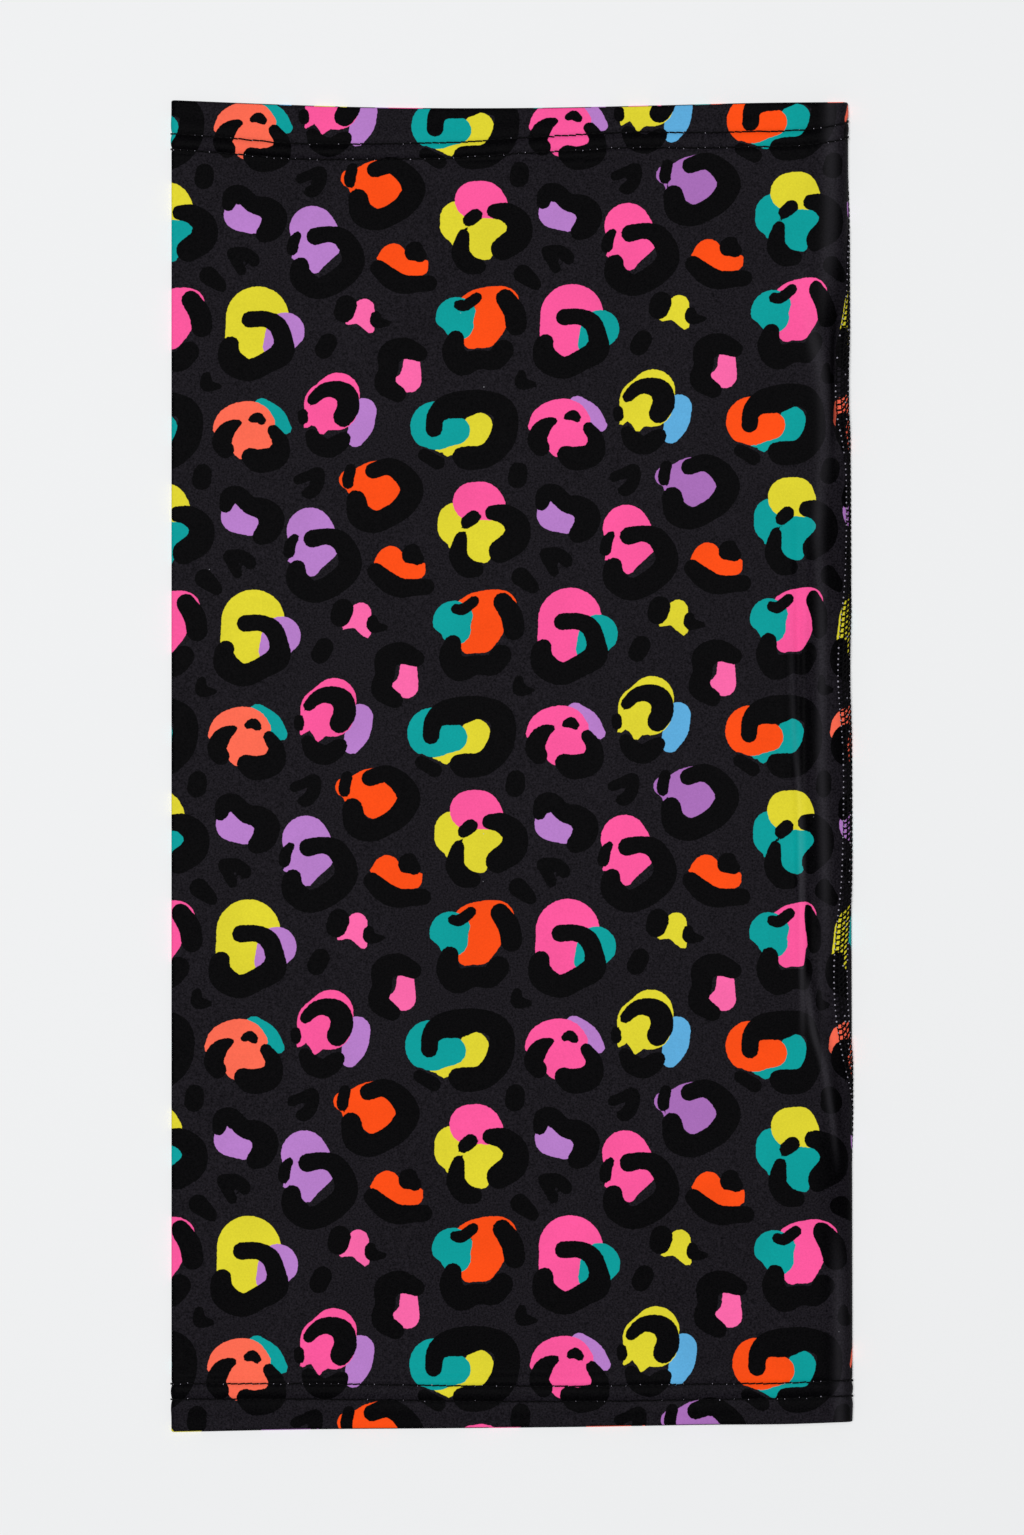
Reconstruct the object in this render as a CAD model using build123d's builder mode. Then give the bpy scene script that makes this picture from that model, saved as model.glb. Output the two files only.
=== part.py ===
from build123d import *

import os
from math import cos, degrees, pi, sin

# Neck gaiter: one knitted panel closed into a tube by a flat side seam, with both open ends
# turned in and cover-stitched. It lies on its back, pressed flat but slightly open.
# +X is across the tube, +Y along it towards the upper opening, +Z up, and the origin is on
# the surface that it lies on, under its middle. All sizes are in millimetres and degrees.

# The tube as it lies
width = 246.0
length = 480.0
cloth = 0.6  # thickness of the knit
inside_gap = 9.8  # clear height inside the tube, between the hems

# Hems: each end is folded inwards once and held by two rows of needle stitches
hem_depth = 17.5
hem_slit = 0.1  # between the wall and the cloth turned in behind it
hem_first_row = 10.0  # from the folded end to the nearer needle row
hem_gauge = 5.6  # between the two needle rows
hem_stitch = 2.6

# Side seam: the panel's long edges meet on the right-hand fold, under four needle rows
seam_gauge = 5.2  # between the first and the last needle row
seam_inset = 0.55  # round the fold, from its top to the nearest needle row
seam_rows = 4
seam_slit = 0.2  # between the two edges of the cloth
seam_stitch = 2.03
seam_margin = 1.2  # clear cloth between the seam's threads and the ends of the hem threads

# Threads
thread = 0.3  # width and depth of a needle thread, which is sunk flush with the cloth
looper = 0.2  # thickness of the cover and looper threads, which lie on the cloth
looper_width = 0.35

# Worked out from the above
outer_radius = inside_gap / 2 + cloth
inner_radius = outer_radius - cloth
turned_outer = inner_radius - hem_slit
turned_inner = turned_outer - cloth
fold_radius = (outer_radius - turned_inner) / 2
fold_centre = (outer_radius + turned_inner) / 2
mid_height = outer_radius
half_length = length / 2
flat_half = width / 2 - outer_radius
hem_rows = {
    "outer": half_length - hem_first_row,
    "inner": half_length - hem_first_row - hem_gauge,
}
hem_middle = half_length - hem_first_row - hem_gauge / 2
row_step = degrees(seam_gauge / (seam_rows - 1) / outer_radius)
first_row = 90 - degrees((seam_inset + seam_gauge) / outer_radius)
seam_turn = first_row + row_step * (seam_rows - 1) / 2
seam_half = (seam_gauge + looper_width) / 2 + seam_margin
seam_run = length - 2 * fold_radius
clear_run = length - 2 * hem_depth
fold_axis = Axis((-flat_half, 0, mid_height), (0, -1, 0))
fold_middle = (flat_half, mid_height)


def carry_round(draw_section):
    """Carries a section of the wall round the flattened tube: flat runs and half-round folds."""
    for side in (1, -1):
        with BuildSketch(Plane.YZ.offset(-flat_half)) as section:
            draw_section(side)
        extrude(section.sketch, amount=flat_half)
        if side == 1:
            revolve(section.sketch, axis=fold_axis, revolution_arc=180)
    mirror(about=Plane.YZ)


def wall_section(side):
    """The cloth cut along the tube: the wall, and both ends folded in to make the hems."""
    with Locations((0, mid_height + side * (outer_radius - cloth / 2))):
        Rectangle(length - 2 * fold_radius, cloth)
    turned_run = hem_depth - fold_radius
    for end in (1, -1):
        turned_middle = end * (half_length - fold_radius - turned_run / 2)
        with Locations((end * (half_length - fold_radius), mid_height + side * fold_centre)):
            Circle(fold_radius)
        with Locations((turned_middle, mid_height + side * (turned_outer - cloth / 2))):
            Rectangle(turned_run, cloth)
        with Locations((turned_middle, mid_height + side * (inner_radius - hem_slit / 2))):
            Rectangle(turned_run, hem_slit, mode=Mode.SUBTRACT)


def fold_strip(radii, angles, run, at=(0,), mode=Mode.ADD):
    """A strip of the right-hand fold between two radii and two angles, run long at each place."""
    with BuildSketch(*[Plane.XZ.offset(place) for place in at]) as strip:
        with BuildLine():
            outside = CenterArc(fold_middle, radii[1], angles[0], angles[1] - angles[0])
            inside = CenterArc(fold_middle, radii[0], angles[0], angles[1] - angles[0])
            Line(outside @ 0, inside @ 0)
            Line(outside @ 1, inside @ 1)
        make_face()
    extrude(strip.sketch, amount=run / 2, both=True, mode=mode)


def seam_row(number):
    """The needle thread of one seam row, sunk in the cloth along the fold."""
    angle = first_row + number * row_step
    half = degrees(thread / 2 / outer_radius)
    fold_strip((outer_radius - thread, outer_radius), (angle - half, angle + half), seam_run)


def clear_seam(half_width):
    """Cuts the fold away that far to each side of the seam's middle, over the whole length."""
    half = degrees(half_width / outer_radius)
    angles = (seam_turn - half, seam_turn + half)
    fold_strip((turned_inner / 2, outer_radius + cloth), angles, 2 * length, mode=Mode.SUBTRACT)


def place_round(distance, radius, along):
    """The place that far round the tube from the top of the right-hand fold, going left."""
    flat = 2 * flat_half
    bend = pi * radius
    if distance < flat:
        return Location((flat_half - distance, along, mid_height + radius))
    if distance < flat + bend:
        turn = (distance - flat) / radius
        x = -flat_half - radius * sin(turn)
        return Location((x, along, mid_height + radius * cos(turn)), (0, -degrees(turn), 0))
    if distance < 2 * flat + bend:
        x = distance - flat - bend - flat_half
        return Location((x, along, mid_height - radius), (0, 180, 0))
    turn = (distance - 2 * flat - bend) / radius
    x = flat_half + radius * sin(turn)
    return Location((x, along, mid_height - radius * cos(turn)), (0, 180 - degrees(turn), 0))


def ladder(radii, run):
    """One thread that crosses back and forth over the seam, a stitch further on each time."""
    half = degrees(looper_width / 2 / outer_radius)
    low = first_row - half
    high = first_row + (seam_rows - 1) * row_step + half
    stitches = int((run - looper_width) / seam_stitch)
    fold_strip(radii, (low, high), stitches * seam_stitch + looper_width)
    gap = seam_stitch - looper_width
    gaps = [(i - (stitches - 1) / 2) * seam_stitch for i in range(stitches)]
    open_low = (low - half, high - 2 * half)
    open_high = (low + 2 * half, high + half)
    fold_strip(radii, open_low, gap, at=gaps[0::2], mode=Mode.SUBTRACT)
    fold_strip(radii, open_high, gap, at=gaps[1::2], mode=Mode.SUBTRACT)


def hem_looper(end):
    """The hem's looper thread, which crosses back and forth between the two needle rows."""
    middle = turned_inner - looper / 2

    def section(side):
        with Locations((end * hem_middle, mid_height + side * middle)):
            Rectangle(hem_gauge + looper_width, looper)

    carry_round(section)
    around = 4 * flat_half + 2 * pi * middle
    stitches = round(around / hem_stitch)
    pitch = around / stitches
    gaps = []
    for i in range(stitches):
        shift = looper_width if i % 2 else -looper_width
        gaps.append(place_round((i + 0.5) * pitch, middle, end * hem_middle + shift))
    with Locations(*gaps):
        Box(pitch - looper_width, hem_gauge + looper_width, cloth, mode=Mode.SUBTRACT)


# The hems' needle threads: two rows at each end, which start and finish beside the side seam
sunk_threads = []
for end_name, end in (("top", 1), ("bottom", -1)):
    for row_name, row in hem_rows.items():

        def thread_section(side):
            with Locations((end * row, mid_height + side * (outer_radius - thread / 2))):
                Rectangle(thread, thread)

        with BuildPart() as needle_thread:
            carry_round(thread_section)
            clear_seam(seam_half)
        needle_thread.part.label = f"{end_name}_hem_needle_thread_{row_name}"
        sunk_threads.append(needle_thread)

# The side seam's needle threads, two on each side of the slit
for number in range(seam_rows):
    with BuildPart() as seam_thread:
        seam_row(number)
    seam_thread.part.label = f"seam_needle_thread_{number + 1}"
    sunk_threads.append(seam_thread)

# The knitted panel, its long edges meeting on the right-hand fold, with a groove for each of
# the threads sunk in it
with BuildPart() as fabric_panel:
    carry_round(wall_section)
    clear_seam(seam_slit / 2)
    for sunk_thread in sunk_threads:
        add(sunk_thread.part, mode=Mode.SUBTRACT)
fabric_panel.part.label = "fabric_panel"

# The hems' looper threads, inside the tube
surface_threads = []
for end_name, end in (("top", 1), ("bottom", -1)):
    with BuildPart() as looper_thread:
        hem_looper(end)
        clear_seam(seam_half)
    looper_thread.part.label = f"{end_name}_hem_looper_thread"
    surface_threads.append(looper_thread)

# The side seam's cover thread on the outside, and its looper thread inside, between the hems
with BuildPart() as seam_cover_thread:
    ladder((outer_radius, outer_radius + looper), seam_run)
seam_cover_thread.part.label = "seam_cover_thread"
surface_threads.append(seam_cover_thread)

with BuildPart() as seam_looper_thread:
    ladder((inner_radius - looper, inner_radius), clear_run)
seam_looper_thread.part.label = "seam_looper_thread"
surface_threads.append(seam_looper_thread)

os.makedirs("parts", exist_ok=True)
for piece in [fabric_panel] + sunk_threads + surface_threads:
    export_step(piece.part, f"parts/{piece.part.label}.step")
    print(piece.part.label, len(piece.part.solids()), "solid", round(piece.part.volume, 2), "mm3")
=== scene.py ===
import math
import random

import bpy
import numpy as np
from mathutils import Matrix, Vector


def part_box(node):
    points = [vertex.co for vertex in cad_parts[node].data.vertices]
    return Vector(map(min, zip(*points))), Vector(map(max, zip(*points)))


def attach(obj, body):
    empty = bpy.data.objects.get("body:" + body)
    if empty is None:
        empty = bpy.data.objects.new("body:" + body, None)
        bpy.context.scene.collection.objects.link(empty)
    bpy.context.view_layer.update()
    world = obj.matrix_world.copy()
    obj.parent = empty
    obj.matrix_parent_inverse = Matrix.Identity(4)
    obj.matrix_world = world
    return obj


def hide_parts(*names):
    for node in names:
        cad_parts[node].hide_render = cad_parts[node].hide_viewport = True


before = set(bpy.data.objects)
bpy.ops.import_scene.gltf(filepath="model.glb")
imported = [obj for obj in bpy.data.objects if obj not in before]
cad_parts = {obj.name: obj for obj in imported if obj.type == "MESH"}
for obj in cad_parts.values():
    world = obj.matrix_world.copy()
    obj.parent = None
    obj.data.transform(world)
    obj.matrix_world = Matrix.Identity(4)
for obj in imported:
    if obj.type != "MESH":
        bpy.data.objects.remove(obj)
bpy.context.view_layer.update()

# A neck gaiter of printed stretch jersey, lying flat on its back. Everything below is worked out
# in millimetres in the CAD's frame (+X across, +Y towards the upper opening, +Z up), and turned
# into metres when a mesh is made.
MM = 0.001
panel_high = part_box("fabric_panel")[1]
HALF_WIDTH = panel_high.x / MM
HALF_LENGTH = panel_high.y / MM

# Cloth and hems
CLOTH = 0.6
HEM_LAYERS = 2 * CLOTH + 0.06  # wall, turned-in cloth and the slit between them
HEM_DEPTH = 17.5
HEM_GAUGE = 5.6
HEM_STITCH = 2.6
HEM_RISE = 0.9  # how far the hems lift the upper layer
# How far the first needle row runs from the folded edge, from the left side to the right
TOP_ROW_DEPTH = (11.8, 12.6, 13.6, 13.3, 12.7, 12.1, 10.7, 9.9, 9.2, 9.9, 10.1, 9.7, 6.7)
BOTTOM_ROW_DEPTH = (11.6, 10.4, 9.2, 8.9, 9.3)

# Side seam
SEAM_GAUGE = 5.2
SEAM_ROWS = 4
SEAM_STITCH = 2.03
# How far in from the right-hand edge the seam's first needle row runs, along the tube. Below
# zero the row has gone round the edge to the underside.
SEAM_INSET = [
    (-240, -3.5), (-160, -2.0), (-135, -0.5), (-121, 0.6), (-108, 3.6), (-94, 6.0), (-74, 6.8),
    (-60, 5.8), (-48, 4.4), (-20, 3.2), (0, 3.1), (35, 4.9), (48, 4.2), (62, 2.6), (78, 1.8),
    (92, 1.6), (108, 1.9), (117, 3.0), (126, 4.6), (152, 4.0), (168, 1.5), (185, 0.6),
    (205, -0.6), (240, -3.0),
]

# How the cloth lies: height of the upper layer near the left fold, in the middle, on the roll
FOLD_HEIGHT = 2.3
FOLD_IN = 1.2  # how far in from the left-hand edge that height is taken
MIDDLE_HEIGHT = 2.6
ROLL_HEIGHT = 10.0
# Where the upper layer starts to roll down to the right-hand edge, along the tube
ROLL_LINE = [(-240, 113), (-200, 111), (-160, 108), (-125, 109), (-90, 105), (-40, 103), (0, 102),
             (60, 103), (100, 107), (140, 110), (180, 112), (240, 114)]
ROLL_PLAIN = 98.0  # where the print starts to be gathered towards that edge
ROLL_UNDER = 2.0  # radius of the lower half of the right-hand edge

rng = random.Random(7)


def smooth(t):
    """0 below 0, 1 above 1, and a smooth step between."""
    t = np.clip(t, 0.0, 1.0)
    return t * t * (3 - 2 * t)


def bell(t, width):
    """1 at t = 0, falling smoothly to 0 on both sides."""
    return np.exp(-(t / width) ** 2)


def run_along(x, z):
    """How far each of a line's points is from its first."""
    return np.concatenate([[0], np.cumsum(np.hypot(np.diff(x), np.diff(z)))])


def spline(points, t):
    """A smooth curve through points (t, value, ...), at the places t."""
    at = np.array([p[0] for p in points], float)
    value = np.array([p[1] for p in points], float)
    slope = np.gradient(value, at)
    i = np.clip(np.searchsorted(at, t) - 1, 0, len(at) - 2)
    span = at[i + 1] - at[i]
    f = np.clip((t - at[i]) / span, 0.0, 1.0)
    a = value[i] * (1 + 2 * f) * (1 - f) ** 2 + slope[i] * span * f * (1 - f) ** 2
    b = value[i + 1] * f * f * (3 - 2 * f) - slope[i + 1] * span * f * f * (1 - f)
    return a + b


# -------- the cloth's outer face

def ridge(x, v, line, height, width):
    """A soft ridge or valley along a line: (place along the tube, place across, strength)."""
    at = spline(line, v)
    strength = np.interp(v, [p[0] for p in line], [p[2] for p in line])
    return height * strength * bell(x - at, width)


# The pleats along the roll, where it is slightly gathered: a line, its height (below zero for a
# valley) and its width
PLEATS = (
    ([(-95, 103.5, 0), (-60, 102.5, 1), (0, 100.5, 1), (60, 100.5, 1), (115, 99, 0)], 0.45, 1.9),
    ([(-105, 107, 0), (-80, 106.5, 1), (0, 105.8, 1), (60, 106, 1), (100, 107, 0)], 0.5, 1.5),
    ([(-90, 104.6, 0), (-50, 104, 1), (50, 103.2, 1), (95, 103, 0)], -0.35, 1.2),
    ([(60, 111, 0), (95, 112, 1), (150, 113.5, 1), (200, 115, 1), (240, 116, 1)], 0.45, 1.8),
    ([(-145, 118, 0), (-125, 114.5, 1), (-105, 111, 1), (-85, 108, 0)], 0.7, 2.0),
    ([(-150, 122, 0), (-125, 119, 1), (-95, 113.5, 1), (-60, 113, 1), (20, 114, 1),
      (90, 115.5, 0.6), (105, 116, 1)], -0.55, 2.4),
    ([(100, 117, 0), (118, 116.8, 1), (150, 117, 1), (172, 119, 0)], -1.5, 1.7),
)
TUCK_STEP = 0.8  # how far the cloth steps down past the tuck near the roll's top


def pleats(x, v):
    """How far the roll's pleats raise its outer face."""
    step = TUCK_STEP * smooth((x - 106.4) / 0.8) * smooth((112 - x) / 5)
    raised = sum(ridge(x, v, *pleat) for pleat in PLEATS)
    return raised - step * smooth((v + 82) / 10) * smooth((-42 - v) / 10)


def upper_height(x, v):
    """Height of the upper layer's outer face, left of the roll, without its pleats."""
    start = spline(ROLL_LINE, v)
    hem = smooth((np.abs(v) - (HALF_LENGTH - HEM_DEPTH - 3)) / 4)
    rise = smooth((x + 10) / (start + 10)) ** 1.6
    z = MIDDLE_HEIGHT + (ROLL_HEIGHT - MIDDLE_HEIGHT) * rise
    z = z + (FOLD_HEIGHT - MIDDLE_HEIGHT) * smooth((-x - 80) / 40)
    z = z + HEM_RISE * hem * (1 - rise)
    inner = smooth((x + HALF_WIDTH) / 25) * smooth((start + 10 - x) / 14)
    waves = (
        0.34 * np.sin(x / 31 + v / 95 + 0.6)
        + 0.22 * np.sin(x / 17 - v / 60 + 2.1)
        + 0.16 * np.sin(v / 38 + x / 70 + 4.0)
        + 0.10 * np.sin(x / 9.5 + v / 120 + 1.0) * smooth((x - 20) / 50)
    )
    return z + inner * waves


def edge_shift(v):
    """How far the right-hand edge stands out from a straight line, along the tube."""
    return spline([(-240, 0.7), (-120, 0.5), (0, 0.1), (110, -0.4), (240, -1.0)], v)


def cross_section(v, count):
    """The outer face at one place along the tube: x and z of count points evenly round it, from
    the right-hand edge over the top to the left-hand fold and back underneath. The third result
    is the length round it, and the ways round to the seam's first row and to ROLL_PLAIN."""
    right = HALF_WIDTH + edge_shift(v)
    start = float(spline(ROLL_LINE, v))
    crest = upper_height(np.array([start]), v)[0]
    # Each stretch has points enough to be smooth: the roll, the top, the fold, the underside
    turn = np.linspace(math.pi / 2, 0, 260)
    roll_x = start + (right - start) * np.sin(turn)
    roll_z = ROLL_UNDER + (crest - ROLL_UNDER) * np.cos(turn)
    roll_z += pleats(roll_x, v) * smooth(2 * np.cos(turn))
    fold = upper_height(np.array([-HALF_WIDTH + FOLD_IN]), v)[0] / 2
    top_x = np.linspace(start, -HALF_WIDTH + fold, 900)[1:]
    top_z = upper_height(top_x, v) + pleats(top_x, v)
    bend = np.linspace(math.pi / 2, -math.pi / 2, 60)[1:]
    fold_x = -HALF_WIDTH + fold - fold * np.cos(bend)
    fold_z = fold + fold * np.sin(bend)
    under_x = np.linspace(-HALF_WIDTH + fold, right - ROLL_UNDER, 500)[1:]
    lift = np.linspace(-math.pi / 2, 0, 40)[1:]
    last_x = right - ROLL_UNDER + ROLL_UNDER * np.cos(lift)
    last_z = ROLL_UNDER + ROLL_UNDER * np.sin(lift)
    x = np.concatenate([roll_x, top_x, fold_x, under_x, last_x])
    z = np.concatenate([roll_z, top_z, fold_z, np.zeros(len(under_x)), last_z])
    run = run_along(x, z)
    even = np.linspace(0, run[-1], count + 1)[:-1]
    roll = slice(0, len(turn))
    inset = float(spline(SEAM_INSET, v))
    seam = np.interp(inset, right - x[roll], run[roll]) if inset > 0 else inset
    upper = slice(0, len(turn) + len(top_x))
    plain = np.interp(-(ROLL_PLAIN + edge_shift(v)), -x[upper], run[upper])
    return np.interp(even, run, x), np.interp(even, run, z), (run[-1], seam, plain)


# The outer face as a table of points, and for each of its rows the three lengths
ROUND = 2048
ALONG = 241
along = np.linspace(-HALF_LENGTH, HALF_LENGTH, ALONG)
grid = np.zeros((ALONG, ROUND, 3))
perimeter = np.zeros(ALONG)
seam_line = np.zeros(ALONG)
plain_line = np.zeros(ALONG)
for row, v in enumerate(along):
    grid[row, :, 0], grid[row, :, 2], lengths = cross_section(v, ROUND)
    perimeter[row], seam_line[row], plain_line[row] = lengths

# The two open ends aren't cut dead straight: the outline of each, from left to right
TOP_EDGE = [(-123, 1.1), (-89, -0.3), (-56, -1.4), (0, -1.8), (58, -0.7), (90, 0.1), (123, 0.4)]
BOTTOM_EDGE = [(-123, -1.5), (-74, -0.5), (-24, -0.1), (25, 0.4), (74, 1.2), (100, 1.4), (123, 2.2)]
CAMERA_HEIGHT = 1310
top_edge = HALF_LENGTH + spline(TOP_EDGE, grid[:, :, 0])
bottom_edge = -HALF_LENGTH + spline(BOTTOM_EDGE, grid[:, :, 0])
share = (along[:, None] + HALF_LENGTH) / (2 * HALF_LENGTH)
# What lies higher is nearer to the camera and looks longer, so it is drawn in by as much
drawn_in = 1 - grid[:, :, 2] / CAMERA_HEIGHT
grid[:, :, 1] = (bottom_edge + (top_edge - bottom_edge) * share) * drawn_in


def normals_of(points):
    """Outward unit normals of a grid that closes on itself in its second direction."""
    round_way = np.roll(points, -1, 1) - np.roll(points, 1, 1)
    long_way = np.gradient(points, axis=0)
    n = np.cross(long_way, round_way)
    return n / np.linalg.norm(n, axis=2, keepdims=True)


grid_normals = normals_of(grid)


def on_cloth(a, v, lift=0.0):
    """Points on the cloth's outer face, in mm: a is the way round from the right-hand edge, over
    the top where positive, v the way along, and lift the height off the face."""
    a, v, lift = np.broadcast_arrays(*(np.asarray(t, float) for t in (a, v, lift)))
    row = np.clip((v + HALF_LENGTH) / (2 * HALF_LENGTH) * (ALONG - 1), 0, ALONG - 1.000001)
    i = row.astype(int)
    f = (row - i)[..., None]
    around = perimeter[i] * (1 - f[..., 0]) + perimeter[i + 1] * f[..., 0]
    col = (a / around % 1.0) * ROUND
    j = col.astype(int) % ROUND
    g = (col - col.astype(int))[..., None]
    k = (j + 1) % ROUND

    def at(table, r):
        r = np.clip(r, 0, ALONG - 1)
        return table[r, j] * (1 - g) + table[r, k] * g

    # A cubic along the tube, so that the rows of the table don't show
    w0 = -0.5 * f + f * f - 0.5 * f ** 3
    w1 = 1 - 2.5 * f * f + 1.5 * f ** 3
    w2 = 0.5 * f + 2 * f * f - 1.5 * f ** 3
    w3 = -0.5 * f * f + 0.5 * f ** 3
    p = w0 * at(grid, i - 1) + w1 * at(grid, i) + w2 * at(grid, i + 1) + w3 * at(grid, i + 2)
    n = at(grid_normals, i) * (1 - f) + at(grid_normals, i + 1) * f
    n = n / np.linalg.norm(n, axis=-1, keepdims=True)
    return p + n * lift[..., None], n


def perimeter_at(v):
    return np.interp(v, along, perimeter)


# -------- the side seam's line

def seam_row(number, v):
    """Way round from the right-hand edge to a needle row of the side seam, 0 to 3."""
    return np.interp(v, along, seam_line) - number * SEAM_GAUGE / (SEAM_ROWS - 1)


def hem_row(a, end, second):
    """Place along the tube of a hem's needle row: end is 1 at the top and -1 at the bottom, and
    second is 0 for the row nearer to the folded edge and 1 for the other."""
    depths = TOP_ROW_DEPTH if end > 0 else BOTTOM_ROW_DEPTH
    half = perimeter_at(end * HALF_LENGTH) / 2
    a = (a + half) % (2 * half) - half
    places = [(i / (len(depths) - 1), depth) for i, depth in enumerate(depths)]
    front = spline(places, 1 - np.abs(a) / half)
    depth = front + (np.mean(depths) - front) * smooth(-a / 25) * smooth((a + half) / 25)
    return end * (HALF_LENGTH - depth - second * HEM_GAUGE)


# -------- the print

# A generic leopard print: rosettes of black strokes over patches of colour, on charcoal. The
# repeat is drawn in millimetres, from its top left corner, X to the right and Y down. A stroke
# is a list of (x, y, radius). A rosette has strokes for a patch of colour, for a second patch over
# it, and for the black over both. Its colours take turns from one repeat to the next across.
REPEAT_X = 115.9
REPEAT_Y = 112.0
PRINT_COLOURS = {
    "yellow": (225, 214, 50), "lilac": (184, 126, 203), "pink": (253, 88, 158),
    "teal": (10, 158, 156), "orange": (253, 78, 20), "coral": (255, 108, 82),
    "blue": (94, 173, 222), "violet": (168, 109, 184), "rose": (252, 104, 170),
}
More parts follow.
